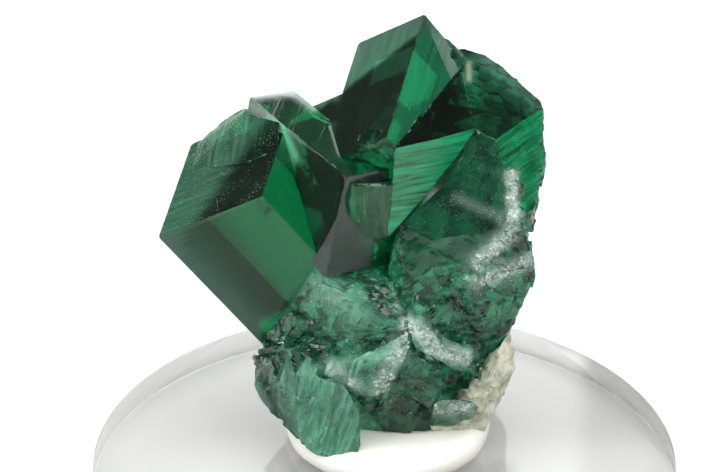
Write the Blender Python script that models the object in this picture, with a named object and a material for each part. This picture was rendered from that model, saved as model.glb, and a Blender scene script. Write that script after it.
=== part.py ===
"""Green twinned fluorite on a clear acrylic disc. Metres, +Z up, origin at the centre of the disc's
underside, front of the specimen towards -Y.

The crystals are cubes in two directions of growth, turned 60 degrees about a shared corner-to-corner
line. Their corners are held in millimetres as seen from the front and a little above: across to the
right, up the view and toward the viewer, counted from the middle of the disc's top face."""

import math
import random

import bmesh
import bpy
from mathutils import Matrix, Vector

MM = 0.001

# Driving dimensions, in millimetres
DISC_DIAMETER = 50.0
DISC_THICKNESS = 6.0
DISC_EDGE_BEVEL = 0.35
PUTTY_RADIUS = 8.8
PUTTY_THICKNESS = 1.2
PUTTY_EDGE_ROUND = 0.45
PUTTY_ACROSS = 0.3
PUTTY_BEHIND = 4.2
NODE_GAP = 0.3
VIEW_ELEVATION = math.radians(29.5)

PUTTY_UNDERSIDE = DISC_THICKNESS + NODE_GAP
REST_HEIGHT = PUTTY_UNDERSIDE + PUTTY_THICKNESS + NODE_GAP

# Edge directions of the two kinds of cube, as seen: across, up, toward
FIRST_LEFT = Vector((-0.762, -0.309, -0.569))
FIRST_RIGHT = Vector((0.610, -0.637, -0.471))
FIRST_UP = Vector((0.217, 0.706, -0.674))
TWIN_BACK = Vector((-0.566, 0.477, -0.672))
TWIN_DOWN = Vector((-0.174, -0.866, -0.468))
TWIN_RIGHT = Vector((0.806, 0.149, -0.573))
# The left cube grew turned by about a degree
LEFT_CUBE_LEFT = Vector((-0.768, -0.294, -0.569))
LEFT_CUBE_RIGHT = Vector((0.600, -0.640, -0.480))
LEFT_CUBE_UP = Vector((0.223, 0.710, -0.668))


def seen(across, up, toward):
    """Point of the model, in metres, from millimetres as seen from the front."""
    y = up * math.sin(VIEW_ELEVATION) - toward * math.cos(VIEW_ELEVATION)
    z = up * math.cos(VIEW_ELEVATION) + toward * math.sin(VIEW_ELEVATION)
    return Vector((across, y, z + DISC_THICKNESS)) * MM


def seen_direction(direction):
    """Unit direction of the model from one given as seen."""
    return (seen(*direction) - seen(0.0, 0.0, 0.0)).normalized()


def clear_scene():
    for obj in list(bpy.data.objects):
        bpy.data.objects.remove(obj, do_unlink=True)


def make_object(name, work):
    """Object from a bmesh, with every normal turned outward."""
    bmesh.ops.recalc_face_normals(work, faces=work.faces)
    mesh = bpy.data.meshes.new(name)
    work.to_mesh(mesh)
    work.free()
    obj = bpy.data.objects.new(name, mesh)
    bpy.context.scene.collection.objects.link(obj)
    return obj


def convex_piece(name, points):
    """Flat-faced solid round the points."""
    work = bmesh.new()
    for point in points:
        work.verts.new(point)
    hull = bmesh.ops.convex_hull(work, input=work.verts)
    unused = {item for item in hull["geom_interior"] if isinstance(item, bmesh.types.BMVert)}
    bmesh.ops.delete(work, geom=list(unused), context="VERTS")
    bmesh.ops.dissolve_limit(
        work, angle_limit=math.radians(0.5), verts=work.verts, edges=work.edges
    )
    return make_object(name, work)


def seen_piece(name, corners):
    return convex_piece(name, [seen(*corner) for corner in corners])


def cube_piece(name, corner, edges):
    """Block grown from one corner along three edges, each a direction and a length in mm."""
    start = Vector(corner)
    steps = [direction * length for direction, length in edges]
    points = []
    for choice in range(8):
        point = start.copy()
        for index, step in enumerate(steps):
            if choice >> index & 1:
                point += step
        points.append(seen(*point))
    return convex_piece(name, points)


def cut_away(obj, point, direction):
    """Cuts off the side of a convex piece that the direction points to, and closes it flat."""
    work = bmesh.new()
    work.from_mesh(obj.data)
    bmesh.ops.bisect_plane(
        work,
        geom=work.verts[:] + work.edges[:] + work.faces[:],
        plane_co=point,
        plane_no=direction,
        clear_outer=True,
    )
    rim = [edge for edge in work.edges if edge.is_boundary]
    bmesh.ops.contextual_create(work, geom=rim)
    bmesh.ops.recalc_face_normals(work, faces=work.faces)
    work.to_mesh(obj.data)
    work.free()


def grown(obj, distance):
    """Copy of a convex piece with its corners moved out from the middle by a distance in mm."""
    copy = obj.copy()
    copy.data = obj.data.copy()
    bpy.context.scene.collection.objects.link(copy)
    middle = sum((v.co for v in obj.data.vertices), Vector()) / len(obj.data.vertices)
    for vertex in copy.data.vertices:
        away = vertex.co - middle
        vertex.co = middle + away * (1.0 + distance * MM / away.length)
    return copy


def weld(mesh):
    """Joins points that lie together."""
    work = bmesh.new()
    work.from_mesh(mesh)
    bmesh.ops.remove_doubles(work, verts=work.verts, dist=0.001 * MM)
    bmesh.ops.dissolve_degenerate(work, edges=work.edges, dist=0.001 * MM)
    work.to_mesh(mesh)
    work.free()


def boolean(target, others, operation):
    """Joins or cuts the target by the others, one after another, and removes them."""
    for other in others:
        step = target.modifiers.new(other.name, "BOOLEAN")
        step.operation = operation
        step.solver = "EXACT"
        step.object = other
        graph = bpy.context.evaluated_depsgraph_get()
        mesh = bpy.data.meshes.new_from_object(target.evaluated_get(graph))
        weld(mesh)
        target.modifiers.clear()
        target.data = mesh
        bpy.data.objects.remove(other, do_unlink=True)


def connected_groups(work):
    """Lists of vertices that hang together."""
    waiting = set(work.verts)
    groups = []
    while waiting:
        group = set()
        front = [waiting.pop()]
        while front:
            vertex = front.pop()
            group.add(vertex)
            for edge in vertex.link_edges:
                other = edge.other_vert(vertex)
                if other in waiting:
                    waiting.remove(other)
                    front.append(other)
        groups.append(list(group))
    return groups


def tidy_faces(obj):
    """Keeps the main body, and merges flat neighbours."""
    work = bmesh.new()
    work.from_mesh(obj.data)
    groups = sorted(connected_groups(work), key=len)
    for loose in groups[:-1]:
        bmesh.ops.delete(work, geom=loose, context="VERTS")
    bmesh.ops.dissolve_limit(
        work, angle_limit=math.radians(0.2), verts=work.verts, edges=work.edges
    )
    bmesh.ops.triangulate(work, faces=work.faces)
    work.to_mesh(obj.data)
    work.free()


def give_material(obj, name, colour, roughness, transmission, ior):
    material = bpy.data.materials.new(name)
    material.use_nodes = True
    shader = material.node_tree.nodes["Principled BSDF"]
    shader.inputs["Base Color"].default_value = (*colour, 1.0)
    shader.inputs["Roughness"].default_value = roughness
    shader.inputs["Metallic"].default_value = 0.0
    shader.inputs["Transmission Weight"].default_value = transmission
    shader.inputs["IOR"].default_value = ior
    obj.data.materials.clear()
    obj.data.materials.append(material)


# Corners of the crystals, as seen: across, up, toward
LEFT_CORNER = (-10.3, 22.5, 12.0)
LEFT_TWIN_CORNER = (-11.5, 31.0, 3.7)
APEX = (3.4, 38.1, 3.1)
SHOULDER_DROP = 6.25
TOP_CUBE_DEPTH = 15.2
# Sloping upper face of the right twin and bright face of the middle crystal: a point and the outward
# direction of each
SLOPING_FACE_POINT = (13.3, 30.4, 3.6)
SLOPING_FACE_OUT = (0.190, 0.801, 0.568)
BRIGHT_FACE_POINT = (0.7, 26.4, 13.3)
BRIGHT_FACE_OUT = -TWIN_BACK
# How far the middle crystal lies below the sloping face, in millimetres
GROWTH_STEP = 0.04


def left_cube():
    """Cube whose corner points at the viewer, with its upper left edge cut by a slanting face."""
    cube = cube_piece(
        "left_cube",
        LEFT_CORNER,
        ((LEFT_CUBE_LEFT, 11.6), (LEFT_CUBE_RIGHT, 16.5), (LEFT_CUBE_UP, 11.4)),
    )
    cut_away(cube, seen(-16.5, 27.4, -2.3), seen_direction((-0.47, 0.65, -0.6)))
    cut_away(cube, seen(*LEFT_TWIN_CORNER), seen_direction(-TWIN_DOWN))
    return cube


def left_shoulder():
    """Frosted growth that carries the left cube's upper side on to the twinned slab."""
    return seen_piece(
        "left_shoulder",
        (
            (-16.15, 27.05, -1.3), (-15.6, 27.65, -1.4), (-14.0, 28.95, -0.4), (-11.95, 30.1, 1.6),
            (-11.9, 29.75, 2.7), (-8.95, 28.8, 6.7), (-9.1, 26.4, 8.2), (-12.5, 25.2, 6.0),
            (-16.6, 24.9, 0.9), (-15.4, 26.6, -4.5), (-11.6, 29.6, -3.0), (-9.0, 26.0, 2.0),
        ),
    )


def left_twin():
    """Thin twinned slab that runs from the upper left corner down to the grey end face."""
    return cube_piece(
        "left_twin",
        LEFT_TWIN_CORNER,
        ((-TWIN_BACK, 14.5), (TWIN_RIGHT, 4.6), (TWIN_DOWN, 9.6)),
    )


def grey_prism():
    """Wider lower part of the twinned slab, ending in the same grey face."""
    start = Vector(LEFT_TWIN_CORNER) - TWIN_BACK * 14.47 + TWIN_DOWN * 2.4
    return cube_piece(
        "grey_prism", start, ((TWIN_BACK, 9.0), (TWIN_RIGHT, 6.6), (TWIN_DOWN, 7.17))
    )


def behind_bright_face(piece):
    """Cuts a piece off a little behind the bright face, so that it can't show through it."""
    point = Vector(BRIGHT_FACE_POINT) + TWIN_BACK * 0.2
    cut_away(piece, seen(*point), seen_direction(BRIGHT_FACE_OUT))
    return piece


def top_cube():
    """Upper cube with its apex up and a shallow chip down its right edge."""
    cube = cube_piece(
        "top_cube",
        APEX,
        ((FIRST_LEFT, 7.4), (FIRST_RIGHT, 6.2), (-FIRST_UP, TOP_CUBE_DEPTH)),
    )
    cut_away(cube, seen(4.0, 36.4, 3.2), seen_direction((0.80, 0.33, 0.50)))
    return behind_bright_face(cube)


def chip_ledge():
    """Small ledge behind the chip, where the top cube meets the right twin."""
    return seen_piece(
        "chip_ledge",
        (
            (4.5, 36.6, 1.8), (5.0, 36.2, 1.55), (6.1, 35.35, 0.7), (6.8, 34.8, 0.2),
            (7.1, 33.9, 0.6), (6.4, 33.2, 1.4), (5.4, 34.6, 2.0), (4.4, 34.0, -2.0),
            (6.6, 34.0, -2.0),
        ),
    )


def top_shoulder():
    """Step of the top cube, lower and wider to the left."""
    start = Vector(APEX) - FIRST_UP * SHOULDER_DROP + FIRST_LEFT * 0.03 + FIRST_RIGHT * 0.03
    shoulder = cube_piece(
        "top_shoulder",
        start,
        ((FIRST_LEFT, 11.0), (FIRST_RIGHT, 5.5), (-FIRST_UP, TOP_CUBE_DEPTH - SHOULDER_DROP - 0.4)),
    )
    return behind_bright_face(shoulder)


def right_twin():
    """Twinned crystal on the right: a sloping upper face over a banded side face."""
    crystal = seen_piece(
        "right_twin",
        (
            (7.4, 34.7, 0.3), (6.4, 35.4, -1.0), (8.8, 34.9, -0.6), (9.9, 34.0, 0.0),
            (13.4, 30.7, 3.8), (9.1, 27.6, 9.4), (7.5, 28.6, 8.8), (13.5, 27.1, 4.6),
            (13.5, 25.4, 5.3), (12.7, 21.6, 7.4), (12.5, 21.1, 7.9), (11.3, 21.0, 9.2),
            (10.2, 24.6, 9.0), (12.5, 19.5, 7.4), (10.2, 19.9, 8.8), (9.6, 33.6, -3.5),
            (13.2, 30.0, -2.0), (13.3, 25.8, -3.0), (12.6, 20.1, -3.0), (6.0, 34.4, -4.0),
            (4.1, 24.0, -6.0),
        ),
    )
    cut_away(crystal, seen(*SLOPING_FACE_POINT), seen_direction(SLOPING_FACE_OUT))
    return crystal


def middle_crystal():
    """Bright face in the middle, under the sloping face of the right twin."""
    crystal = seen_piece(
        "middle_crystal",
        (
            (0.9, 26.7, 13.7), (7.5, 34.8, 0.1), (9.0, 34.0, 0.0), (9.0, 28.6, 7.4),
            (7.5, 28.7, 8.7), (0.2, 19.2, 8.9), (0.7, 23.5, 11.5), (4.6, 24.3, 8.6),
            (7.6, 26.5, 2.0), (3.9, 19.7, 1.0), (0.8, 26.5, 4.0), (4.8, 30.0, 0.0),
            (0.3, 19.0, 0.0),
        ),
    )
    growth_step = Vector(SLOPING_FACE_POINT) - Vector(SLOPING_FACE_OUT) * GROWTH_STEP
    cut_away(crystal, seen(*growth_step), seen_direction(SLOPING_FACE_OUT))
    cut_away(crystal, seen(*BRIGHT_FACE_POINT), seen_direction(BRIGHT_FACE_OUT))
    return crystal


def streaked_face():
    """Face with upright streaks to the left of the bright one."""
    return seen_piece(
        "streaked_face",
        (
            (-2.8, 23.6, 12.9), (-1.0, 23.2, 12.2), (0.7, 23.5, 11.3), (0.2, 19.2, 8.7),
            (-0.5, 18.8, 8.6), (-1.6, 19.6, 9.7), (-2.9, 20.8, 11.3), (-3.1, 22.0, 12.3),
            (0.8, 23.6, 4.0), (-3.0, 23.4, 5.0), (-2.8, 20.9, 4.0), (0.1, 18.8, 2.0),
        ),
    )


def right_core():
    """Cleaved face turned to the viewer between the bright face and the white crust."""
    return seen_piece(
        "right_core",
        (
            (7.4, 28.3, 8.3), (9.0, 27.2, 9.0), (10.2, 24.6, 8.9), (11.2, 21.0, 9.0),
            (10.2, 19.9, 8.7), (7.3, 19.2, 8.3), (3.9, 18.8, 8.1), (1.3, 20.1, 8.1),
            (4.6, 24.3, 8.2), (12.2, 18.6, 6.6), (12.6, 17.0, 5.8), (12.8, 15.8, 5.0),
            (12.5, 15.0, 4.4), (11.8, 13.7, 3.4), (8.4, 15.7, 7.0), (6.3, 16.9, 7.6),
            (4.1, 16.6, 7.4), (1.4, 14.6, 6.6), (0.1, 16.1, 6.0), (12.2, 18.6, -3.0),
            (11.6, 13.8, -3.5), (8.0, 21.0, -6.2), (3.0, 22.4, -6.0), (0.2, 16.0, -6.0),
        ),
    )


def lower_left_core():
    """Broken front under the grey face."""
    return seen_piece(
        "lower_left_core",
        (
            (-5.6, 17.0, 7.6), (-5.1, 15.7, 8.5), (-3.2, 15.2, 7.3), (0.0, 16.0, 5.5),
            (1.4, 14.6, 5.8), (2.1, 11.2, 5.8), (-1.9, 12.8, 6.3), (-5.8, 13.8, 6.4),
            (-8.9, 9.9, 3.0), (-10.5, 9.8, 0.6), (-10.3, 9.3, -3.0), (-7.0, 12.5, -7.0),
            (3.0, 12.5, -7.9), (-3.4, 11.1, 5.8), (-7.3, 6.6, -5.0), (1.4, 6.6, -6.0),
            (-5.0, 19.0, -5.0), (2.0, 19.6, -6.2),
        ),
    )


def lower_right_core():
    """Broken front under the cleaved face."""
    return seen_piece(
        "lower_right_core",
        (
            (0.1, 15.5, 5.6), (1.4, 14.6, 6.5), (4.1, 16.6, 7.3), (6.3, 16.9, 7.5),
            (8.4, 15.7, 6.9), (12.2, 14.6, 3.8), (11.8, 13.7, 3.2), (11.0, 11.9, 2.2),
            (10.1, 10.2, 1.6), (7.0, 12.4, 5.2), (2.1, 11.2, 5.8), (4.7, 10.8, 5.2),
            (10.4, 11.7, -5.0), (2.0, 12.5, -7.9), (9.0, 6.7, -3.0), (1.4, 6.6, -6.0),
            (11.4, 14.5, -5.0), (8.0, 12.5, -7.7), (8.5, 19.0, -6.0),
        ),
    )


def base_core():
    """Heart of the broken base, down to the putty."""
    return seen_piece(
        "base_core",
        (
            (-11.0, 9.4, -0.5), (-8.1, 9.9, 3.6), (-3.4, 11.2, 5.6), (2.0, 11.6, 5.6),
            (5.5, 9.9, 4.4), (10.1, 10.2, 1.4), (9.2, 8.4, 0.6), (9.1, 5.8, -0.6),
            (8.4, 4.4, -1.2), (3.9, 2.2, -0.7), (2.1, 2.1, -0.6), (0.3, 2.1, -0.5),
            (-1.1, 3.7, 0.6), (-3.4, 6.3, 3.6), (-7.2, 7.3, 3.4), (-8.4, 2.8, -1.3),
            (-7.3, 4.0, -3.5), (-6.0, 6.0, -6.8), (5.6, 6.2, -7.4), (8.4, 4.8, -5.0),
            (-9.9, 7.5, -4.0), (9.8, 10.0, -5.5), (7.0, 12.5, -7.9), (-6.4, 12.3, -7.5),
            (-0.5, 9.0, -9.0),
        ),
    )


def teal_block():
    """Cleaved block at the lower left that stands on the putty with its front tip."""
    return seen_piece(
        "teal_block",
        (
            (-11.2, 8.9, -0.6), (-11.3, 7.7, -0.6), (-11.3, 6.5, -0.5), (-10.8, 5.5, -0.4),
            (-8.4, 2.8, -1.1), (-5.6, 0.2, 2.9), (-4.9, 0.0, 3.1), (-3.8, 0.0, 3.1),
            (-2.4, 0.4, 2.6), (-2.1, 1.6, 2.4), (-2.1, 3.4, 2.6), (-2.3, 4.6, 3.4),
            (-3.4, 6.4, 4.6), (-5.5, 7.2, 4.7), (-7.0, 7.5, 4.3), (-7.6, 7.3, 4.0),
            (-8.8, 6.6, 3.0), (-10.0, 8.8, 1.8), (-3.8, 7.6, -4.0), (-3.4, 1.5, -3.0),
            (-8.2, 3.2, -4.0), (-10.6, 8.4, -4.0),
        ),
    )


def turquoise_wedge():
    """Light wedge between the teal block and the dark block."""
    return seen_piece(
        "turquoise_wedge",
        (
            (1.9, 11.0, 6.6), (2.0, 9.7, 6.0), (0.9, 6.7, 4.6), (-0.2, 5.9, 4.0),
            (-1.3, 5.2, 3.2), (-3.3, 6.5, 4.5), (-1.3, 8.7, 5.6), (-2.8, 8.6, 5.2),
            (1.3, 10.3, 1.0), (-2.1, 6.8, 1.0), (0.5, 6.0, 1.0),
        ),
    )


def dark_block():
    return seen_piece(
        "dark_block",
        (
            (2.0, 9.7, 5.4), (3.6, 8.3, 5.0), (4.8, 8.3, 4.4), (4.8, 5.9, 3.2),
            (3.3, 3.8, 1.4), (2.1, 2.2, 0.0), (0.3, 2.2, -0.2), (-1.1, 3.8, 1.4),
            (-0.2, 5.6, 3.0), (1.0, 6.6, 4.0), (3.1, 7.6, -2.0), (1.4, 3.2, -4.0),
        ),
    )


def white_chips():
    return seen_piece(
        "white_chips",
        (
            (1.9, 11.7, 6.4), (2.6, 9.7, 6.2), (3.9, 10.3, 6.1), (5.3, 8.5, 5.6),
            (7.9, 9.4, 4.4), (6.6, 7.6, 4.2), (4.7, 11.1, 2.0), (6.5, 9.4, 1.0),
            (3.0, 10.3, 2.0),
        ),
    )


def light_ledge():
    return seen_piece(
        "light_ledge",
        (
            (-5.8, 15.3, 8.6), (-4.7, 14.5, 8.2), (-3.2, 14.3, 7.8), (-1.4, 13.7, 7.0),
            (-1.9, 12.8, 6.8), (-2.3, 11.6, 6.2), (-3.4, 11.8, 6.4), (-3.7, 10.9, 5.9),
            (-4.7, 10.9, 5.8), (-7.2, 12.1, 5.0), (-4.7, 13.7, 2.0), (-2.5, 13.7, 2.0),
        ),
    )


def arch_ledge():
    return seen_piece(
        "arch_ledge",
        (
            (-8.1, 9.4, 4.6), (-7.6, 7.4, 4.2), (-6.4, 9.3, 5.0), (-5.5, 8.4, 4.9),
            (-5.8, 7.3, 4.6), (-8.9, 9.5, 4.0), (-10.0, 8.9, 2.6), (-9.1, 6.6, 2.8),
            (-7.2, 9.9, 4.9), (-7.3, 8.5, 0.0),
        ),
    )


def fan_fracture():
    """Low fan of ribs under the crust."""
    return seen_piece(
        "fan_fracture",
        (
            (4.6, 14.5, 6.9), (5.7, 13.8, 6.6), (6.9, 13.8, 6.3), (8.0, 14.1, 5.9),
            (9.3, 13.8, 5.2), (7.2, 12.2, 5.6), (8.4, 12.1, 4.8), (9.6, 12.4, 4.0),
            (5.9, 11.9, 5.4), (5.3, 12.7, 5.9), (7.5, 13.0, 2.0),
        ),
    )


def ribbed_ledge():
    return seen_piece(
        "ribbed_ledge",
        (
            (8.3, 15.7, 7.3), (12.6, 16.6, 5.9), (12.3, 15.3, 5.1), (10.8, 14.1, 4.9),
            (9.1, 14.4, 5.9), (9.8, 15.1, 3.0),
        ),
    )


def pale_patch():
    """Pale chipped corner above the host rock."""
    return seen_piece(
        "pale_patch",
        (
            (4.6, 5.2, 3.4), (6.3, 5.2, 2.8), (8.0, 4.7, 1.6), (7.6, 3.6, 0.8),
            (6.1, 2.8, 0.2), (3.9, 2.9, 0.8), (4.0, 4.1, 2.0), (5.2, 4.2, -2.0),
            (7.4, 4.0, -2.0),
        ),
    )


def hollow_chips():
    """Two broken chips in the hollow under the top cube."""
    upper = seen_piece(
        "upper_chip",
        (
            (-1.9, 27.8, 11.0), (-1.1, 28.2, 11.2), (-0.4, 28.1, 11.9), (-0.1, 27.2, 12.9),
            (-0.8, 26.5, 12.6), (-1.8, 26.4, 12.6), (-2.4, 26.9, 11.4), (-1.2, 27.2, 8.0),
        ),
    )
    lower = seen_piece(
        "lower_chip",
        (
            (-1.8, 25.7, 10.6), (-1.0, 26.2, 11.6), (-0.3, 26.2, 12.0), (0.2, 25.5, 11.6),
            (-0.3, 24.7, 10.6), (-1.3, 24.9, 10.0), (-0.8, 25.2, 6.0),
        ),
    )
    return [upper, lower]


def rough_lump(name, centre, across, depth, points, chance):
    """Small angular lump: wide by the first size and as thick toward the viewer as the second."""
    corners = []
    for _ in range(points):
        around = Vector([chance.gauss(0.0, 1.0) for _ in range(3)]).normalized()
        reach = chance.uniform(0.8, 1.0)
        corners.append(
            (
                centre[0] + around.x * across * reach,
                centre[1] + around.y * across * reach,
                centre[2] + around.z * depth * reach,
            )
        )
    return seen_piece(name, corners)


def crust_lumps():
    """Raised white crust down the right side and round under the cleaved face."""
    chance = random.Random(41)
    centres = (
        (10.8, 24.0, 9.0), (10.9, 23.0, 9.0), (10.7, 22.0, 9.0), (10.9, 21.0, 9.0),
        (10.7, 20.0, 8.7), (10.1, 19.0, 8.2), (11.3, 20.0, 8.2), (9.4, 18.3, 7.8),
        (10.5, 18.0, 7.3), (11.6, 17.5, 6.3), (8.6, 17.5, 7.6), (9.7, 17.3, 7.3),
        (10.7, 17.0, 6.5), (7.8, 16.7, 7.3), (8.9, 16.5, 7.0), (12.0, 17.0, 5.8),
        (7.2, 16.0, 7.0),
    )
    return [
        rough_lump("crust_lump", centre, chance.uniform(0.8, 1.15), 0.6, 16, chance)
        for centre in centres
    ]


def back_cube():
    """Cube whose corner points away from the viewer."""
    return cube_piece(
        "back_cube",
        (3.0, 24.0, -8.4),
        ((-FIRST_LEFT, 8.0), (-FIRST_RIGHT, 7.5), (-FIRST_UP, 8.5)),
    )


def back_twin_cube():
    return cube_piece(
        "back_twin_cube",
        (-3.6, 17.5, -8.2),
        ((-TWIN_BACK, 8.0), (-TWIN_DOWN, 7.0), (-TWIN_RIGHT, 7.5)),
    )


def shards():
    """Angular splinters on the broken front of the base."""
    chance = random.Random(12)
    centres = (
        (3.0, 10.0, 5.5), (4.0, 9.0, 5.0), (5.9, 9.4, 4.8), (7.2, 10.0, 4.2),
        (8.4, 9.5, 2.8), (5.5, 7.1, 3.0), (6.6, 6.5, 2.2), (7.3, 5.8, 1.4),
        (5.2, 4.9, 1.8), (3.9, 5.6, 2.4), (7.6, 7.6, 2.0), (7.9, 6.4, 1.2),
        (1.3, 5.2, 2.0), (2.3, 4.3, 1.4), (0.9, 3.8, 0.6), (-4.7, 9.5, 4.8),
        (-3.0, 9.9, 5.0), (-1.1, 10.2, 5.4), (0.0, 9.5, 5.0), (-5.5, 10.2, 4.4),
        (-6.8, 11.2, 4.2), (-8.1, 10.8, 3.2),
    )
    return [
        rough_lump("shard", centre, chance.uniform(0.7, 1.2), 0.9, 9, chance)
        for centre in centres
    ]


def matrix_rock():
    """Rind of host rock on the lower right."""
    return seen_piece(
        "matrix_remnant",
        (
            (10.7, 10.9, 1.4), (11.1, 8.8, 0.4), (11.1, 7.7, -0.1), (10.6, 6.6, -0.5),
            (10.0, 5.2, -0.9), (8.9, 3.7, -1.4), (8.4, 2.2, -0.9), (7.7, 2.1, -0.8),
            (6.0, 2.0, -0.7), (4.7, 2.1, -0.7), (3.9, 2.9, 0.2), (6.5, 4.5, 1.4),
            (8.4, 4.4, 0.9), (9.0, 5.8, 1.4), (9.1, 8.4, 2.2), (9.6, 9.1, 2.4),
            (10.1, 10.2, 2.2), (10.6, 9.7, -7.0), (10.8, 7.0, -7.0), (8.8, 4.0, -7.0),
            (5.7, 2.7, -5.0), (10.2, 8.3, -9.0),
        ),
    )


def fluorite_cluster():
    cluster = left_cube()
    cluster.name = "fluorite_cluster"
    single_pieces = (
        left_shoulder, left_twin, grey_prism, top_cube, chip_ledge, top_shoulder, right_twin,
        middle_crystal, streaked_face, right_core, lower_left_core, lower_right_core, base_core,
        teal_block, turquoise_wedge, dark_block, white_chips, light_ledge, arch_ledge, fan_fracture,
        ribbed_ledge, pale_patch, back_cube, back_twin_cube,
    )
    pieces = [piece() for piece in single_pieces]
    pieces += hollow_chips() + crust_lumps() + shards()
    boolean(cluster, pieces, "UNION")
    return cluster


def below_rest():
    """Block that fills everything under the height the specimen rests at."""
    bpy.ops.mesh.primitive_cube_add(size=0.1, location=(0.0, 0.0, REST_HEIGHT * MM - 0.05))
    return bpy.context.object


def turned_disc(name, profile, steps):
    """Closed round solid from a profile of radius and height in mm, turned about +Z."""
    work = bmesh.new()
    rings = []
    for radius, height in profile:
        if radius == 0.0:
            rings.append([work.verts.new((0.0, 0.0, height * MM))])
            continue
        ring = []
        for index in range(steps):
            angle = 2.0 * math.pi * index / steps
            ring.append(
                work.verts.new(
                    (radius * MM * math.cos(angle), radius * MM * math.sin(angle), height * MM)
                )
            )
        rings.append(ring)
    for low, high in zip(rings, rings[1:]):
        for index in range(steps):
            following = (index + 1) % steps
            corners = [
                low[index % len(low)], low[following % len(low)],
                high[following % len(high)], high[index % len(high)],
            ]
            kept = [v for i, v in enumerate(corners) if v not in corners[:i]]
            work.faces.new(kept)
    return make_object(name, work)


def acrylic_base():
    radius = DISC_DIAMETER / 2.0
    profile = (
        (0.0, 0.0),
        (radius - DISC_EDGE_BEVEL, 0.0),
        (radius, DISC_EDGE_BEVEL),
        (radius, DISC_THICKNESS - DISC_EDGE_BEVEL),
        (radius - DISC_EDGE_BEVEL, DISC_THICKNESS),
        (0.0, DISC_THICKNESS),
    )
    return turned_disc("acrylic_base", profile, 96)


def mounting_putty():
    top = PUTTY_UNDERSIDE + PUTTY_THICKNESS
    profile = (
        (0.0, PUTTY_UNDERSIDE),
        (PUTTY_RADIUS - PUTTY_EDGE_ROUND, PUTTY_UNDERSIDE),
        (PUTTY_RADIUS, PUTTY_UNDERSIDE + PUTTY_EDGE_ROUND),
        (PUTTY_RADIUS - PUTTY_EDGE_ROUND * 0.3, top - PUTTY_EDGE_ROUND * 0.3),
        (PUTTY_RADIUS - PUTTY_EDGE_ROUND, top),
        (0.0, top),
    )
    pad = turned_disc("mounting_putty", profile, 48)
    pad.data.transform(Matrix.Translation(Vector((PUTTY_ACROSS, PUTTY_BEHIND, 0.0)) * MM))
    return pad


def main():
    clear_scene()
    rock = matrix_rock()
    cluster = fluorite_cluster()
    boolean(cluster, [grown(rock, NODE_GAP), below_rest()], "DIFFERENCE")
    boolean(rock, [below_rest()], "DIFFERENCE")
    tidy_faces(cluster)
    tidy_faces(rock)
    give_material(cluster, "fluorite_green", (0.02, 0.2, 0.11), 0.08, 1.0, 1.434)
    give_material(rock, "host_rock", (0.35, 0.33, 0.26), 0.8, 0.0, 1.5)
    give_material(mounting_putty(), "white_putty", (0.9, 0.9, 0.86), 0.7, 0.0, 1.45)
    give_material(acrylic_base(), "clear_acrylic", (0.95, 0.97, 0.96), 0.03, 1.0, 1.49)


main()
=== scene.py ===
"""Green twinned fluorite on a clear acrylic disc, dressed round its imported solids.

Points given as seen are in millimetres across to the right, up the view and toward the viewer, counted
from the middle of the disc's top face. They are turned to the model's own axes, so a colour or a line
stays on its crystal from every side."""

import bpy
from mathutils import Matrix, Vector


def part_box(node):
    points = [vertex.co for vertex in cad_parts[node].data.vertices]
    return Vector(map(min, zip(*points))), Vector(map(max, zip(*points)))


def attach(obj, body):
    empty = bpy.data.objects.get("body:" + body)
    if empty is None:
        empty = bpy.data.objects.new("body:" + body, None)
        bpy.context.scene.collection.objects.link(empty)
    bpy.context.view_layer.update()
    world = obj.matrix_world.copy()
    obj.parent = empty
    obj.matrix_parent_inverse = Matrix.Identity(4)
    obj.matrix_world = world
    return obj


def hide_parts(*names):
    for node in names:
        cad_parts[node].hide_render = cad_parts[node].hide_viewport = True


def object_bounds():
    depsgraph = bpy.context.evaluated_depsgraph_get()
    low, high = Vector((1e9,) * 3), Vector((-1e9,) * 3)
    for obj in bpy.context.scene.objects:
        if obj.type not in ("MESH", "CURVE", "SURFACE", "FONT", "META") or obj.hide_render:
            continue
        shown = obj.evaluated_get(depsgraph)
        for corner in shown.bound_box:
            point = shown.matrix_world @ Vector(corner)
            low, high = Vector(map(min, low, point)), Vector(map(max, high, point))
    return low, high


bl_info = {
    "name": "Twinned fluorite specimen",
    "version": (1, 0, 0),
    "blender": (4, 5, 0),
    "location": "3D View > Sidebar > Specimen",
    "description": "Twinned fluorite crystals with host rock, putty and an acrylic disc",
    "category": "Add Mesh",
}

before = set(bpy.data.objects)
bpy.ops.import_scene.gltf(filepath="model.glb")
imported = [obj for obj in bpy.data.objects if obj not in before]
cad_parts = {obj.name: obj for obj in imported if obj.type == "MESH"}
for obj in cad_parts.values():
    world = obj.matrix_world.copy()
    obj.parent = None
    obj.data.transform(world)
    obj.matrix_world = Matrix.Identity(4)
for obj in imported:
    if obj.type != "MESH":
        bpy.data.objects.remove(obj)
CAD_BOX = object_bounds()

import math
from typing import NamedTuple

import bmesh
import bpy
import numpy as np
from bpy.props import FloatProperty, FloatVectorProperty, PointerProperty
from mathutils import Vector

MM = 0.001
BODY = "root"

# The view that the seen points are given in: millimetres from the middle of the disc's top face, and the
# width and focal length of its picture in pixels
VIEW_ELEVATION = math.radians(29.5)
VIEW_DISTANCE = 400.0
VIEW_ACROSS = -2.62
VIEW_UP = 19.18
PICTURE_WIDTH = 708
FOCAL_PIXELS = 4656.0
SENSOR_WIDTH = 36.0
DISC_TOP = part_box("acrylic_base")[1].z / MM


def colour(code):
    """Linear colour from an sRGB hex code."""
    parts = [int(code[start:start + 2], 16) / 255.0 for start in (0, 2, 4)]
    return tuple(c / 12.92 if c <= 0.04045 else ((c + 0.055) / 1.055) ** 2.4 for c in parts)


def opaque(code):
    """Linear colour with full cover, as a shader's socket takes it."""
    return (*colour(code), 1.0)


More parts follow.
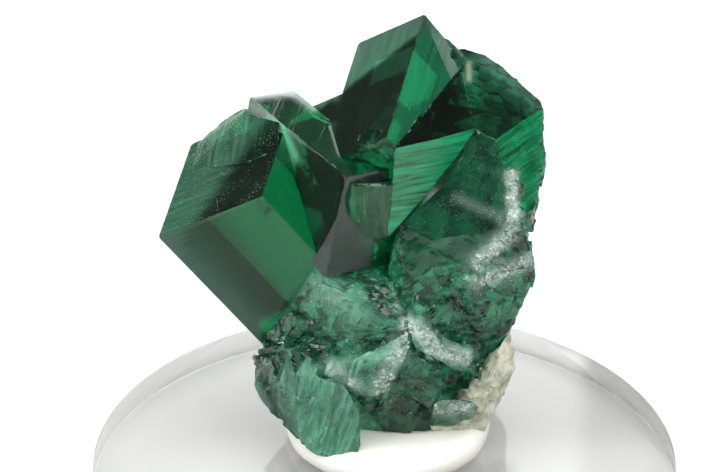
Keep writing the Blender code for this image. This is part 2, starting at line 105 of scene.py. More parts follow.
def seen(across, up, toward):
    """Point of the model, in metres, from millimetres as seen."""
    return (seen_direction((across, up, toward)) + Vector((0.0, 0.0, DISC_TOP))) * MM


def seen_direction(direction):
    """Direction of the model from one given as seen, with its length kept."""
    across, up, toward = direction
    y = up * math.sin(VIEW_ELEVATION) - toward * math.cos(VIEW_ELEVATION)
    z = up * math.cos(VIEW_ELEVATION) + toward * math.sin(VIEW_ELEVATION)
    return Vector((across, y, z))


def as_seen(points):
    """Rows of across, up and toward in millimetres, from rows of points in metres."""
    x, y, z = (points / MM).T
    z = z - DISC_TOP
    up = y * math.sin(VIEW_ELEVATION) + z * math.cos(VIEW_ELEVATION)
    toward = z * math.sin(VIEW_ELEVATION) - y * math.cos(VIEW_ELEVATION)
    return np.column_stack((x, up, toward))


class FluoriteSettings(bpy.types.PropertyGroup):
    absorption_colour: FloatVectorProperty(
        name="Absorption colour", description="Colour that deep crystal lets through",
        subtype="COLOR", min=0.0, max=1.0, default=colour("27d1c0"),
    )
    absorption_density: FloatProperty(
        name="Absorption density", description="Strength of the colour, per metre", default=210.0,
    )
    refractive_index: FloatProperty(
        name="Refractive index", description="Fluorite bends light only a little", default=1.434,
    )
    facet_size: FloatProperty(
        name="Facet size", description="Longest edge of the finished mesh",
        subtype="DISTANCE", unit="LENGTH", default=0.44 * MM,
    )
    edge_wear: FloatProperty(
        name="Edge wear", description="How far sharp edges are rounded", subtype="FACTOR",
        min=0.0, max=1.0, default=0.35,
    )


class RockSettings(bpy.types.PropertyGroup):
    dark_colour: FloatVectorProperty(
        name="Dark colour", description="Weathered brown of the rock", subtype="COLOR",
        min=0.0, max=1.0, default=colour("7d7462"),
    )
    middle_colour: FloatVectorProperty(
        name="Middle colour", description="Greenish grey between the two", subtype="COLOR",
        min=0.0, max=1.0, default=colour("b4baa2"),
    )
    pale_colour: FloatVectorProperty(
        name="Pale colour", description="Fresh broken limestone", subtype="COLOR",
        min=0.0, max=1.0, default=colour("e6e3d4"),
    )
    facet_size: FloatProperty(
        name="Facet size", description="Longest edge of the finished mesh",
        subtype="DISTANCE", unit="LENGTH", default=0.3 * MM,
    )


class PuttySettings(bpy.types.PropertyGroup):
    surface_colour: FloatVectorProperty(
        name="Colour", description="Warm white putty", subtype="COLOR",
        min=0.0, max=1.0, default=colour("fdfcf3"),
    )
    spread: FloatProperty(
        name="Spread", description="How uneven the pressed edge of the putty is",
        subtype="DISTANCE", unit="LENGTH", default=0.25 * MM,
    )


class DiscSettings(bpy.types.PropertyGroup):
    edge_radius: FloatProperty(
        name="Edge radius", description="Rounding of the disc's polished edges",
        subtype="DISTANCE", unit="LENGTH", default=0.05 * MM,
    )
    refractive_index: FloatProperty(
        name="Refractive index", description="Cast acrylic", default=1.49,
    )


class StageSettings(bpy.types.PropertyGroup):
    floor_colour: FloatVectorProperty(
        name="Floor colour", description="Pale paper", subtype="COLOR",
        min=0.0, max=1.0, default=colour("f6f6f5"),
    )
    surround: FloatProperty(
        name="Surround", description="Brightness of the room round the stage", default=0.10,
    )


# Edge directions of the two kinds of cube, as seen
FIRST_LEFT = (-0.762, -0.309, -0.569)
FIRST_RIGHT = (0.610, -0.637, -0.471)
FIRST_UP = (0.217, 0.706, -0.674)
TWIN_BACK = (-0.566, 0.477, -0.672)
TWIN_DOWN = (-0.174, -0.866, -0.468)
TWIN_RIGHT = (0.806, 0.149, -0.573)
LEFT_CUBE_LEFT = (-0.768, -0.294, -0.569)
LEFT_CUBE_RIGHT = (0.600, -0.640, -0.480)
LEFT_CUBE_UP = (0.223, 0.710, -0.668)


def against(direction):
    return tuple(-part for part in direction)


class Finish(NamedTuple):
    """How a kind of surface looks: hex colour, share of light let in, roughness or frost, height of its
    relief in mm, and how strong its growth lines and its pale specks are."""

    colour: str
    clear: float
    frost: float
    relief: float
    striae: float
    grit: float


FINISHES = {
    "smooth": Finish("3aa872", 0.93, 0.08, 0.010, 0.1, 0.05),
    "cloudy": Finish("2c8057", 0.76, 0.10, 0.010, 0.2, 0.10),
    # Painted glow: a bright green, less clear finish that stands for light coming through the crystal
    "painted_glow": Finish("2fa674", 0.68, 0.12, 0.010, 0.5, 0.05),
    "hazy": Finish("7fc0a0", 0.72, 0.12, 0.020, 0.4, 0.10),
    "frosted": Finish("5a9878", 0.60, 0.22, 0.030, 0.7, 0.4),
    "banded": Finish("2fcf8c", 0.76, 0.07, 0.050, 1.0, 0.05),
    # Painted light: a bright green with little light let in, so that the face shows bright under any lamp
    "painted_light": Finish("25c386", 0.42, 0.08, 0.050, 1.0, 0.05),
    "grey": Finish("3a4644", 0.55, 0.15, 0.010, 0.1, 0.1),
    # Painted shade: a very dark green, clear finish that stands for shade where the crystal looks black
    "painted_shade": Finish("163f2d", 0.95, 0.05, 0.010, 0.1, 0.1),
    "cleaved": Finish("2c664d", 0.74, 0.12, 0.060, 0.3, 0.35),
    "broken": Finish("4a9a78", 0.78, 0.08, 0.420, 0.2, 0.5),
    "teal": Finish("84eec6", 0.72, 0.06, 0.350, 0.9, 0.2),
    "bruised": Finish("b4ccc0", 0.40, 0.40, 0.200, 0.0, 0.8),
}


class Face(NamedTuple):
    """A named face or broken place: its finish, a point on it, the way it looks out, where it ends as
    seen, how far its facets may turn in degrees, and how far they may lie off it in mm. A window has its
    left, right, low and high ends."""

    finish: str
    point: tuple
    outward: tuple
    window: tuple
    turn: float = 4.0
    gap: float = 0.12


EVERYWHERE = (-30.0, 30.0, -10.0, 50.0)
LEFT_CORNER = (-10.3, 22.5, 12.0)
LEFT_TWIN_CORNER = (-11.5, 31.0, 3.7)
APEX = (3.4, 38.1, 3.1)
TO_VIEWER = (0.0, 0.0, 1.0)
# How far the facets of a broken place may turn in degrees, and lie off its depth in mm
BROKEN_TURN = 80.0
BROKEN_GAP = 5.0


def broken_place(finish, left, right, low, high, toward):
    """Every facet that looks to the front within a window as seen, near a depth."""
    point = ((left + right) / 2.0, (low + high) / 2.0, toward)
    return Face(finish, point, TO_VIEWER, (left, right, low, high), BROKEN_TURN, BROKEN_GAP)


FACES = {
    "lower_front": Face("cloudy", LEFT_CORNER, against(LEFT_CUBE_UP), EVERYWHERE),
    "frosted_side": Face("frosted", LEFT_CORNER, against(LEFT_CUBE_RIGHT), EVERYWHERE),
    "frosted_shoulder": Face(
        "frosted", (-13.0, 27.6, 3.0), (-0.55, 0.62, 0.56), (-18.0, -8.3, 24.0, 31.0), 30.0, 4.0
    ),
    "corner_triangle": Face("smooth", LEFT_CORNER, against(LEFT_CUBE_LEFT), EVERYWHERE),
    "twin_top": Face("smooth", LEFT_TWIN_CORNER, against(TWIN_DOWN), EVERYWHERE),
    "twin_corner": Face("bruised", LEFT_TWIN_CORNER, against(TWIN_RIGHT), (-30.0, -8.0, 26.0, 50.0)),
    # Painted shade: this side takes the very dark finish that stands for shade
    "dark_side": Face("painted_shade", LEFT_TWIN_CORNER, against(TWIN_RIGHT), EVERYWHERE),
    "grey_end": Face(
        "grey", (-3.29, 24.08, 13.44), against(TWIN_BACK), (-30.0, -0.6, 0.0, 50.0), 4.0, 4.0
    ),
    "streaked_face": Face(
        "banded", (-1.2, 22.0, 11.2), (0.354, -0.472, 0.804), (-3.0, 0.9, 18.6, 23.7), 35.0, 1.2
    ),
    "apex_left": Face("hazy", APEX, against(FIRST_RIGHT), EVERYWHERE),
    # Painted glow: this face takes the bright green finish that stands for light through the crystal
    "apex_right": Face("painted_glow", APEX, against(FIRST_LEFT), EVERYWHERE),
    "apex_chip": Face("hazy", (4.0, 36.4, 3.2), (0.80, 0.33, 0.50), EVERYWHERE),
    # Painted shade: this face takes the very dark finish that stands for shade
    "sloping_face": Face("painted_shade", (13.3, 30.4, 3.6), (0.190, 0.801, 0.568), EVERYWHERE),
    "banded_face": Face("banded", (11.0, 23.6, 8.7), (0.71, 0.22, 0.67), EVERYWHERE, 8.0, 0.5),
    # Painted light: this face takes the bright green finish that stands for light in the crystal
    "bright_face": Face("painted_light", (0.7, 26.4, 13.3), against(TWIN_BACK), (-0.5, 30.0, 0.0, 50.0)),
    "hollow_chips": broken_place("cleaved", -2.6, 0.4, 24.4, 28.4, 11.5),
    "cleaved_front": broken_place("cleaved", 4.6, 10.8, 19.2, 24.6, 8.6),
    "upper_cleavage": broken_place("cleaved", 1.2, 11.2, 16.6, 28.6, 8.2),
    "teal_block": broken_place("teal", -11.6, -2.0, -1.0, 8.0, 1.5),
}
# The finish of what no face claims
REST_FINISH = {"growth_back": "smooth", "broken_rest": "broken"}
ZONES = tuple(FACES) + tuple(REST_FINISH)

# Zones whose colour isn't that of their finish: both are darker copies of it, painted shade on those faces
PAINTED_SHADE_TONES = {"streaked_face": "1f9a62", "corner_triangle": "2f8f60"}

# The way that growth lines run on some faces, as seen
STRIA_RUN = {
    "bright_face": TWIN_RIGHT,
    "banded_face": (0.814, 0.581, -1.053),
    "frosted_side": LEFT_CUBE_LEFT,
    "streaked_face": (-0.1, 1.0, 0.63),
}

# Growth lines, specks and the patches that specks gather in, in millimetres. Real lines are finer: they
# are drawn as coarse as they need to be to show
STRIA_SPACING = 0.45
STRIA_LENGTH = 7.0
STRIA_DEPTH = 0.06
SPECK_SIZE = 0.13
PATCH_SIZE = 2.2
# Values of the noise over which a line, a speck and a patch of specks set in
LINE_RANGE = (0.35, 0.65)
SPECK_RANGE = (0.62, 0.70)
PATCH_RANGE = (0.40, 0.62)

# Growth steps on grown faces and two sizes of chips on broken ones, in millimetres, the shares of relief
# that the chips give and lose again, and how far each chip leans and lifts
STEP_SPACING = 0.9
STEP_LENGTH = 9.0
LARGE_CHIP = 2.4
SMALL_CHIP = 0.9
LARGE_SHARE = 0.8
SMALL_SHARE = 0.35
CHIP_SINK = 0.3
CHIP_TILT = 1.4
CHIP_LIFT = 0.5
SMALL_CHIP_SEED = 20

# Tone of the chips, from the darkest up, and how far it shows in a zone: 0 not at all, 1 fully. It is partly
# the broken crystal's own mottling and partly painted glints and painted shade on its facets
CHIP_DARKEST = 0.15
CHIP_RANGE = 1.9
CHIP_BEND = 1.5
CHIP_MOTTLE_AND_GLINT = {"teal_block": 0.15, "banded_face": 0.0, "cleaved_front": 0.3, "upper_cleavage": 0.5}

# In degrees: how far a facet may turn from a growth face and still lie on it, and how far the facets of a
# face may turn while it counts as grown
FLAT_TURN = 4.0
GROWN_TURN = 10.0
# Edges that turn more than this are sharp
SHARP_TURN = math.radians(22.0)
# Cosine from which a face looks along an edge direction
LOOKS_ALONG = 0.9
# Packed points nearer than this in millimetres are one, and neighbours that turn less are one flat face
WELD_GAP = 0.002
WELD_TURN = math.radians(0.3)
# Least length that is divided by
TINY = 1e-12

# Grains on the white crust: how many, their size and that of their green clouds in millimetres, and the
# milkiness they start at
GRAIN_COUNT = 900
GRAIN_SIZE = (0.10, 0.34)
GRAIN_CLOUD = 0.8
GRAIN_MILK = 0.45
GRAIN_SEED = 7

# Whole numbers that turn a cell's place into a value that looks random and is always the same
SCRAMBLE_PLACE = (73856093, 19349663, 83492791)
SCRAMBLE_SEED = 1013904223
SCRAMBLE_MIX = 1274126177
LOW_BITS = 0xFFFFFF


class VeilAndPaintedLight(NamedTuple):
    """A soft stroke of another colour inside some faces, between two points across and up as seen. Milk
    is how much of it is whitish and cloudy. A stroke with no milk is painted shade where it is dark and
    painted glow where it is bright green."""

    zones: tuple
    start: tuple
    end: tuple
    width: float
    colour: str
    strength: float
    milk: float = 0.0


class Side(NamedTuple):
    """Another colour on the right of a line, walked from its start to its end, as seen. Most sides are
    painted shade, dark over part of a face; the one on the teal block is a pale milky tint.
    """

    zones: tuple
    start: tuple
    end: tuple
    blur: float
    colour: str
    strength: float
    milk: float = 0.0


BROKEN = ("hollow_chips", "cleaved_front", "upper_cleavage", "teal_block", "broken_rest")
FRONT = BROKEN + ("banded_face",)
PAINTED_SHADE_AND_TINT_SIDES = (
    # The first four are painted shade, dark over part of a face where the crystal looks black; the last is a
    # pale milky tint
    Side(("apex_left",), (-4.3, 31.0), (2.7, 36.3), 0.25, "14231b", 0.97),
    Side(("frosted_side", "frosted_shoulder"), (-15.6, 21.0), (-10.4, 28.8), 0.8, "06180f", 0.96),
    Side(("twin_top",), (-3.4, 29.9), (-11.2, 30.6), 0.5, "174030", 0.85),
    Side(("sloping_face",), (7.4, 34.0), (6.2, 28.0), 0.6, "0c2f20", 0.8),
    Side(("teal_block",), (-4.4, 8.2), (-2.4, 5.0), 0.8, "a6e8cc", 0.5, 0.2),
)
VEILS_AND_PAINTED_LIGHT = (
    VeilAndPaintedLight(("lower_front",), (-18.2, 18.4), (-11.5, 11.6), 1.2, "5f8c7b", 0.75, 0.3),
    # Painted shade: a dark green stroke over the lower front
    VeilAndPaintedLight(("lower_front",), (-15.4, 21.6), (-8.0, 11.6), 1.6, "24482c", 0.8),
    # Painted glow: a bright green stroke on the dark sloping face
    VeilAndPaintedLight(("sloping_face",), (7.6, 33.4), (7.6, 28.6), 0.5, "1c8a58", 0.7),
    VeilAndPaintedLight(("sloping_face",), (8.6, 34.4), (13.1, 30.4), 0.8, "6d8c7c", 0.7, 0.3),
    VeilAndPaintedLight(("sloping_face",), (7.2, 34.0), (7.2, 32.6), 0.35, "b9c4a8", 0.8, 0.7),
    VeilAndPaintedLight(("twin_top",), (-11.0, 31.2), (-8.0, 31.6), 0.5, "dcebe2", 1.0, 0.75),
    VeilAndPaintedLight(("twin_top",), (-8.0, 31.6), (-6.0, 30.2), 0.5, "c8dcd0", 0.9, 0.6),
    VeilAndPaintedLight(("apex_left",), (-4.2, 31.0), (-2.2, 35.4), 0.4, "8cb0a0", 0.6, 0.3),
    VeilAndPaintedLight(("apex_left",), (-2.2, 35.4), (2.6, 37.4), 0.5, "6f8d82", 0.6, 0.2),
    VeilAndPaintedLight(
        ("apex_left", "apex_right", "apex_chip"), (3.4, 37.8), (3.2, 36.9), 0.7, "52685f", 0.8, 0.2
    ),
    VeilAndPaintedLight(("apex_chip",), (5.0, 35.6), (6.6, 33.0), 1.0, "7d9c8e", 0.9, 0.5),
    VeilAndPaintedLight(("corner_triangle",), (-8.8, 28.4), (-7.4, 25.6), 0.5, "8fe0b4", 0.7, 0.3),
    VeilAndPaintedLight(("dark_side",), (-8.6, 28.2), (-7.7, 25.9), 0.75, "86dcb0", 0.95, 0.5),
    VeilAndPaintedLight(("dark_side",), (-11.4, 30.4), (-9.2, 28.9), 0.8, "b4ccc0", 0.8, 0.45),
    VeilAndPaintedLight(("upper_cleavage",), (3.8, 22.6), (5.2, 19.8), 0.9, "a4b6ae", 0.8, 0.6),
    # Painted shade: a dark stroke on the upper cleavage
    VeilAndPaintedLight(("upper_cleavage",), (1.6, 20.0), (3.6, 23.6), 0.5, "1c2b26", 0.8),
    VeilAndPaintedLight(("cleaved_front",), (6.0, 22.4), (9.6, 20.8), 0.5, "8fa599", 0.6, 0.5),
    VeilAndPaintedLight(FRONT, (10.6, 24.3), (10.8, 20.4), 0.65, "ccdad2", 1.0, 1.0),
    VeilAndPaintedLight(FRONT, (10.4, 19.2), (7.9, 17.0), 0.9, "c2d2c9", 1.0, 0.9),
    VeilAndPaintedLight(FRONT, (12.0, 17.1), (7.8, 15.2), 0.8, "c2d2c9", 0.9, 0.8),
    VeilAndPaintedLight(FRONT, (-5.0, 14.8), (-2.4, 12.4), 1.7, "a0d8bd", 0.8, 0.45),
    VeilAndPaintedLight(FRONT, (1.9, 11.2), (-0.3, 6.2), 1.1, "c4ecd8", 1.0, 0.8),
    VeilAndPaintedLight(FRONT, (-6.6, 7.6), (0.0, 9.2), 0.8, "9fe6c8", 0.8, 0.5),
    VeilAndPaintedLight(FRONT, (2.0, 11.8), (3.9, 10.4), 0.7, "d5e6dc", 1.0, 0.8),
    VeilAndPaintedLight(FRONT, (4.0, 9.6), (6.9, 8.8), 0.8, "cfe0d6", 1.0, 0.8),
    VeilAndPaintedLight(FRONT, (4.4, 4.4), (7.8, 4.7), 0.8, "c9dccf", 1.0, 0.8),
    # Painted shade: the next four are dark strokes on the broken front
    VeilAndPaintedLight(FRONT, (6.0, 13.4), (7.4, 11.4), 1.3, "0d2a1e", 0.9),
    VeilAndPaintedLight(FRONT, (0.9, 6.6), (3.6, 3.4), 1.7, "22523a", 0.9),
    VeilAndPaintedLight(FRONT, (-9.4, 12.6), (-6.4, 9.6), 1.5, "2f5647", 0.8),
    VeilAndPaintedLight(FRONT, (-10.9, 8.4), (-8.6, 3.0), 0.9, "4c6b52", 0.9),
    VeilAndPaintedLight(FRONT, (-4.6, 8.0), (-2.6, 6.6), 0.8, "cfe9dd", 0.9, 0.6),
)

# How steeply a side's colour sets in over its blur, and the frost that a fully milky tint adds
BLUR_SLOPE = 4.0
MILK_FROST = 0.4
# Strokes on the broken front, veils and painted shade alike: how far a facet has to look to the front, the
# noises that tear a stroke, each with its share, size in mm and seed, and how far the tears spread,
# strengthen and thin it
FRONT_TURN = 0.1
TEARS = ((0.7, 0.6, 61), (0.5, 0.25, 62))
TEAR_SPREAD = 0.5
TEAR_GAIN = 2.4
TEAR_LOSS = 0.1


def make_object(name, data):
    obj = bpy.data.objects.new(name, data)
    bpy.context.scene.collection.objects.link(obj)
    return obj


def working_copy(node):
    """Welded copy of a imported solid's mesh, with flat neighbours merged."""
    work = bmesh.new()
    work.from_mesh(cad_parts[node].data)
    bmesh.ops.remove_doubles(work, verts=work.verts, dist=WELD_GAP * MM)
    bmesh.ops.dissolve_limit(work, angle_limit=WELD_TURN, verts=work.verts, edges=work.edges)
    return work


def refined(work, longest, layer=None):
    """Points, triangles and face marks of a mesh whose edges are split until none is too long."""
    bmesh.ops.triangulate(work, faces=work.faces)
    work.verts.index_update()
    points = np.array([vertex.co for vertex in work.verts])
    triangles = np.array([[vertex.index for vertex in face.verts] for face in work.faces])
    marks = np.array([face[layer] if layer else 0 for face in work.faces])
    work.free()
    while True:
        ends = np.sort(triangles[:, [[0, 1], [1, 2], [2, 0]]].reshape(-1, 2), axis=1)
        edges, index = np.unique(ends, axis=0, return_inverse=True)
        length = np.linalg.norm(points[edges[:, 0]] - points[edges[:, 1]], axis=1)
        split = length > longest
        if not split.any():
            return points, triangles, marks
        number = np.full(len(edges), -1)
        number[split] = len(points) + np.arange(split.sum())
        points = np.vstack((points, points[edges[split]].mean(axis=1)))
        middle = number[index.reshape(-1)].reshape(-1, 3)
        pieces = []
        kept = []
        for corner, between, mark in zip(triangles, middle, marks):
            parts = split_triangle(points, corner, between)
            pieces += parts
            kept += [mark] * len(parts)
        triangles = np.array(pieces)
        marks = np.array(kept)


def split_triangle(points, corner, between):
    """Triangles made of one, with the middles of its edges, or -1 where an edge stays whole."""
    halved = between >= 0
    count = halved.sum()
    if count == 0:
        return [tuple(corner)]
    if count == 3:
        a, b, c = corner
        ab, bc, ca = between
        return [(a, ab, ca), (ab, b, bc), (ca, bc, c), (ab, bc, ca)]
    first = np.argmax(halved) if count == 1 else (np.argmin(halved) + 1) % 3
    a, b, c = (corner[(first + step) % 3] for step in range(3))
    ab = between[first]
    if count == 1:
        return [(a, ab, c), (ab, b, c)]
    bc = between[(first + 1) % 3]
    if np.linalg.norm(points[a] - points[bc]) < np.linalg.norm(points[ab] - points[c]):
        return [(ab, b, bc), (a, ab, bc), (a, bc, c)]
    return [(ab, b, bc), (a, ab, c), (ab, bc, c)]


def mesh_from(name, points, faces):
    mesh = bpy.data.meshes.new(name)
    mesh.from_pydata(points.tolist(), [], faces.tolist())
    mesh.update()
    return mesh


def name_zones(work):
    """Marks each face of the cluster with the number of its zone."""
    layer = work.faces.layers.int.new("zone")
    corners = {name: seen(*face.point) for name, face in FACES.items()}
    outward = {name: seen_direction(face.outward).normalized() for name, face in FACES.items()}
    growth = [
        seen_direction(edge).normalized()
        for edge in (FIRST_LEFT, FIRST_RIGHT, FIRST_UP, TWIN_BACK, TWIN_DOWN, TWIN_RIGHT)
    ]
    for face in work.faces:
        middle = face.calc_center_median()
        across, up, _ = as_seen(np.array([middle]))[0]
        found = None
        for name, candidate in FACES.items():
            left, right, low, high = candidate.window
            if not (left < across < right and low < up < high):
                continue
            if face.normal.dot(outward[name]) < math.cos(math.radians(candidate.turn)):
                continue
            if abs((middle - corners[name]).dot(outward[name])) < candidate.gap * MM:
                found = name
                break
        if found is None:
            flat = max(abs(face.normal.dot(direction)) for direction in growth)
            found = "growth_back" if flat > math.cos(math.radians(FLAT_TURN)) else "broken_rest"
        face[layer] = ZONES.index(found)
    return layer


def lattice_values(cells, seed):
    """Repeatable values from 0 to 1, one for each row of whole numbers."""
    mixed = (cells.astype(np.int64) * SCRAMBLE_PLACE).sum(axis=-1)
    mixed = mixed + seed * SCRAMBLE_SEED
    mixed = (mixed ^ (mixed >> 13)) * SCRAMBLE_MIX
    mixed = mixed ^ (mixed >> 16)
    return (mixed & LOW_BITS) / float(LOW_BITS)


def noise(points, seed):
    """Smooth noise from 0 to 1 whose features are about one unit across."""
    base = np.floor(points)
    part = points - base
    blend = part * part * (3.0 - 2.0 * part)
    total = np.zeros(len(points))
    for corner in np.ndindex(2, 2, 2):
        weight = np.prod(np.where(corner, blend, 1.0 - blend), axis=-1)
        total += weight * lattice_values(base + corner, seed)
    return total


def chips(points, seed):
    """Height and tone of flat tilted chips about one unit across."""
    base = np.floor(points)
    nearest = np.full(len(points), np.inf)
    height = np.zeros(len(points))
    tone = np.zeros(len(points))
    for step in np.ndindex(3, 3, 3):
        cell = base + step - 1.0
        centre = cell + np.column_stack([lattice_values(cell, seed + i) for i in range(3)])
        tilt = np.column_stack([lattice_values(cell, seed + i) for i in range(3, 6)]) - 0.5
        lift = lattice_values(cell, seed + 6)
        away = points - centre
        distance = (away * away).sum(axis=-1)
        nearer = distance < nearest
        nearest = np.where(nearer, distance, nearest)
        leaning = (away * tilt).sum(axis=-1) * CHIP_TILT + lift * CHIP_LIFT
        height = np.where(nearer, leaning, height)
        tone = np.where(nearer, lift, tone)
    return height, tone


def read_vectors(collection, attribute):
    """Rows of three numbers, one for each point or face of a mesh."""
    values = np.empty(len(collection) * 3, dtype=np.float32)
    collection.foreach_get(attribute, values)
    return values.reshape(-1, 3).astype(np.float64)


def inside_box(points):
    """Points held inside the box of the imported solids, so that relief never adds to the size."""
    low, high = (np.array(corner) for corner in CAD_BOX)
    return np.clip(points, low, high)


def soften_edges(points, triangles, outward, amount, turn):
    """Pulls the points of sharp edges toward their neighbours, as wear does."""
    total = np.zeros_like(points)
    count = np.zeros(len(points))
    lowest = np.full(len(points), 1.0)
    mean = np.zeros_like(points)
    for corner in range(3):
        np.add.at(mean, triangles[:, corner], outward)
        for other in (1, 2):
            np.add.at(total, triangles[:, corner], points[triangles[:, (corner + other) % 3]])
            np.add.at(count, triangles[:, corner], 1.0)
    mean /= np.maximum(np.linalg.norm(mean, axis=1, keepdims=True), TINY)
    for corner in range(3):
        agreement = (mean[triangles[:, corner]] * outward).sum(axis=1)
        np.minimum.at(lowest, triangles[:, corner], agreement)
    sharp = (lowest < math.cos(turn / 2.0)) & (count > 0)
    middle = total / np.maximum(count, 1.0)[:, None]
    return np.where(sharp[:, None], points + (middle - points) * amount, points)


def shade_by_angle(mesh, turn):
    """Smooth shading, with edges sharper than a turn kept sharp."""
    work = bmesh.new()
    work.from_mesh(mesh)
    for face in work.faces:
        face.smooth = True
    for edge in work.edges:
        edge.smooth = edge.calc_face_angle(0.0) < turn
    work.to_mesh(mesh)
    work.free()


def fill(tree, node, inputs):
    """Links each input of a node where it is given a socket, or else sets it to the value."""
    for key, value in inputs.items():
        if isinstance(value, bpy.types.NodeSocket):
            tree.links.new(value, node.inputs[key])
        else:
            node.inputs[key].default_value = value


def add_node(tree, kind, inputs, stops=(), **settings):
    """Adds a node with its inputs, its own settings and, for a ramp, the place and colour of each stop."""
    node = tree.nodes.new(kind)
    for key, value in settings.items():
        setattr(node, key, value)
    for place, _ in stops[1:-1]:
        node.color_ramp.elements.new(place)
    for number, (place, shade) in enumerate(stops):
        node.color_ramp.elements[number].position = place
        node.color_ramp.elements[number].color = shade
    fill(tree, node, inputs)
    return node


def new_material(name, inputs):
    """Material with a Principled shader, its nodes and the shader."""
    material = bpy.data.materials.new(name)
    material.use_nodes = True
    tree = material.node_tree
    shader = tree.nodes["Principled BSDF"]
    fill(tree, shader, inputs)
    return material, tree, shader


# A mix node has three sockets of each name: these are the numbers of those for colour
MIX_A = 6
MIX_B = 7
MIX_RESULT = 2

# What one speck takes from the clearness of the skin, and what it adds to its frost
SPECK_MILK = 0.6
SPECK_FROST = 0.4


def fluorite_material(settings):
    """Natural fluorite, grown, cleaved and broken. Light that goes deep into it turns green, growth faces
    shine, and cleaved and broken ones are frosted. The colour, clearness and frost of the skin are on the
    mesh, and that colour holds painted shade and painted glow on some faces. Its growth lines and specks are
    drawn here."""
    material, tree, shader = new_material(
        "fluorite_grown_and_cleaved", {"IOR": settings.refractive_index}
    )
    skin = {
        name: add_node(tree, "ShaderNodeAttribute", {}, attribute_name=name).outputs[output]
        for name, output in (
            ("tone", "Color"), ("grain", "Vector"), ("clear", "Fac"), ("frost", "Fac"),
            ("striae", "Fac"), ("grit", "Fac"),
        )
    }
    stretched = add_node(
        tree, "ShaderNodeVectorMath",
        {0: skin["grain"], 1: (1.0 / STRIA_SPACING, 1.0 / STRIA_LENGTH, 1.0)}, operation="MULTIPLY",
    ).outputs[0]
    lines = add_node(
        tree, "ShaderNodeTexNoise",
        {"Vector": stretched, "Scale": 1.0, "Detail": 3.0, "Roughness": 0.6},
    ).outputs["Fac"]
    specks, patches = (
        add_node(
            tree, "ShaderNodeTexNoise", {"Vector": skin["grain"], "Scale": 1.0 / size, "Detail": detail}
        ).outputs["Fac"]
        for size, detail in ((SPECK_SIZE, 2.0), (PATCH_SIZE, 3.0))
    )
    line, speck, patch = (
        add_node(
            tree, "ShaderNodeMapRange", {"Value": value, "From Min": low, "From Max": high}
        ).outputs[0]
        for value, (low, high) in ((lines, LINE_RANGE), (specks, SPECK_RANGE), (patches, PATCH_RANGE))
    )
    dark_line = add_node(
        tree, "ShaderNodeMath", {0: line, 1: skin["striae"]}, operation="MULTIPLY"
    ).outputs[0]
    dotted = add_node(tree, "ShaderNodeMath", {0: speck, 1: patch}, operation="MULTIPLY").outputs[0]
    fleck = add_node(
        tree, "ShaderNodeMath", {0: dotted, 1: skin["grit"]}, operation="MULTIPLY"
    ).outputs[0]
    lined = add_node(
        tree, "ShaderNodeMix", {"Factor": dark_line, MIX_A: skin["tone"], MIX_B: opaque("7d9085")},
        data_type="RGBA", blend_type="MULTIPLY",
    ).outputs[MIX_RESULT]
    flecked = add_node(
        tree, "ShaderNodeMix", {"Factor": fleck, MIX_A: lined, MIX_B: opaque("cfe0d8")},
        data_type="RGBA",
    ).outputs[MIX_RESULT]
    clear, rough = (
        add_node(
            tree, "ShaderNodeMath", {0: fleck, 1: share, 2: plain}, operation="MULTIPLY_ADD"
        ).outputs[0]
        for share, plain in ((-SPECK_MILK, skin["clear"]), (SPECK_FROST, skin["frost"]))
    )
    height = add_node(tree, "ShaderNodeMath", {0: dark_line, 1: fleck}, operation="ADD").outputs[0]
    bump = add_node(
        tree, "ShaderNodeBump", {"Height": height, "Strength": 0.5, "Distance": STRIA_DEPTH * MM}
    ).outputs["Normal"]
    fill(tree, shader, {
        "Base Color": flecked, "Transmission Weight": clear, "Roughness": rough, "Normal": bump,
    })
    depth = add_node(
        tree, "ShaderNodeVolumeAbsorption",
        {"Color": (*settings.absorption_colour, 1.0), "Density": settings.absorption_density},
    ).outputs["Volume"]
    fill(tree, tree.nodes["Material Output"], {"Volume": depth})
    return material


def crust_material():
    """Bruised fluorite of the white crust: so full of fine cracks that it scatters light and looks white,
    with some green between its grains."""
    material, tree, shader = new_material("fluorite_bruised_grains", {
        "Roughness": 0.25, "IOR": 1.434, "Transmission Weight": 0.35,
    })
    place = add_node(tree, "ShaderNodeTexCoord", {}).outputs["Object"]
    cloud = add_node(
        tree, "ShaderNodeTexNoise",
        {"Vector": place, "Scale": 1.0 / (GRAIN_CLOUD * MM), "Detail": 3.0},
    ).outputs["Fac"]
    shade = add_node(
        tree, "ShaderNodeValToRGB", {"Fac": cloud},
        stops=((0.35, opaque("7fa593")), (0.62, opaque("e4eee9"))),
    ).outputs["Color"]
    fill(tree, shader, {"Base Color": shade})
    return material


def set_attribute(mesh, name, kind, values):
    layer = mesh.attributes.new(name, kind, "CORNER")
    field = {"FLOAT": "value", "FLOAT_COLOR": "color", "FLOAT_VECTOR": "vector"}[kind]
    layer.data.foreach_set(field, np.ascontiguousarray(values, np.float32).ravel())


def in_zones(zone, names):
    """Which of the corners or faces lie in the named zones."""
    return np.isin(zone, [ZONES.index(name) for name in names])


def finish_of(name):
    """Finish of a zone."""
    return FINISHES[FACES[name].finish if name in FACES else REST_FINISH[name]]


def face_directions(name):
    """The ways across and along the growth lines of a face, and out of the face."""
    outward = seen_direction(FACES[name].outward).normalized()
    run = FIRST_UP
    if abs(outward.dot(seen_direction(FIRST_UP))) >= LOOKS_ALONG:
        run = FIRST_LEFT
    along = seen_direction(STRIA_RUN.get(name, run))
    along = (along - outward * along.dot(outward)).normalized()
    return outward.cross(along), along, outward


